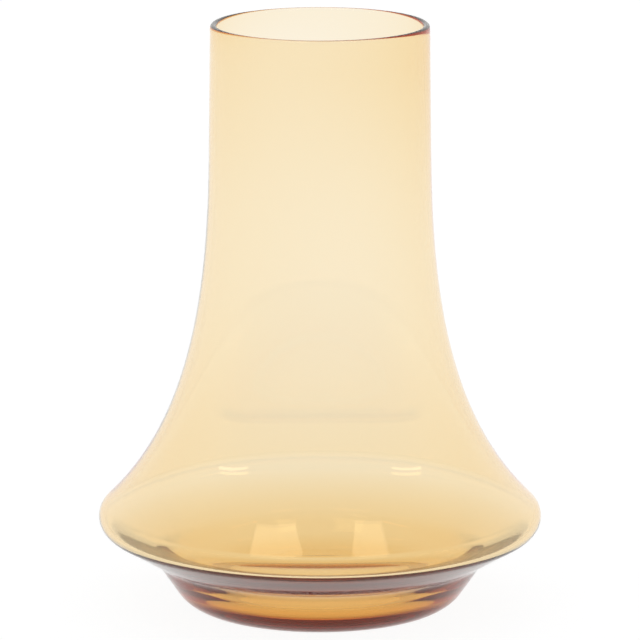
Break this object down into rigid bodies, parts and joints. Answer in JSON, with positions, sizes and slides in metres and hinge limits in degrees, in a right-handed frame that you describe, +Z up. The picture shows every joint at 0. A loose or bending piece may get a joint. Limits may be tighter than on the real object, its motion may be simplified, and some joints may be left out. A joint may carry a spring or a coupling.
{
  "type": "flower vase",
  "caption": "Tall clear amber glass flower vase: straight neck, bell-shaped body with a thin rounded edge, sloping underside and narrow bowl foot.",
  "frame": {"origin": "centre of the plane that the vase stands on, on the axis of the glass", "axes": "+Z up along the axis, out of the mouth; X and Y level and alike, because the glass is round"},
  "size_m": [0.19, 0.19, 0.252],
  "materials": {
    "amber_glass": "clear, fire-polished, tinted amber through the glass"
  },
  "bodies": {
    "root": {"vase_body": "amber_glass"}
  },
  "joints": []
}
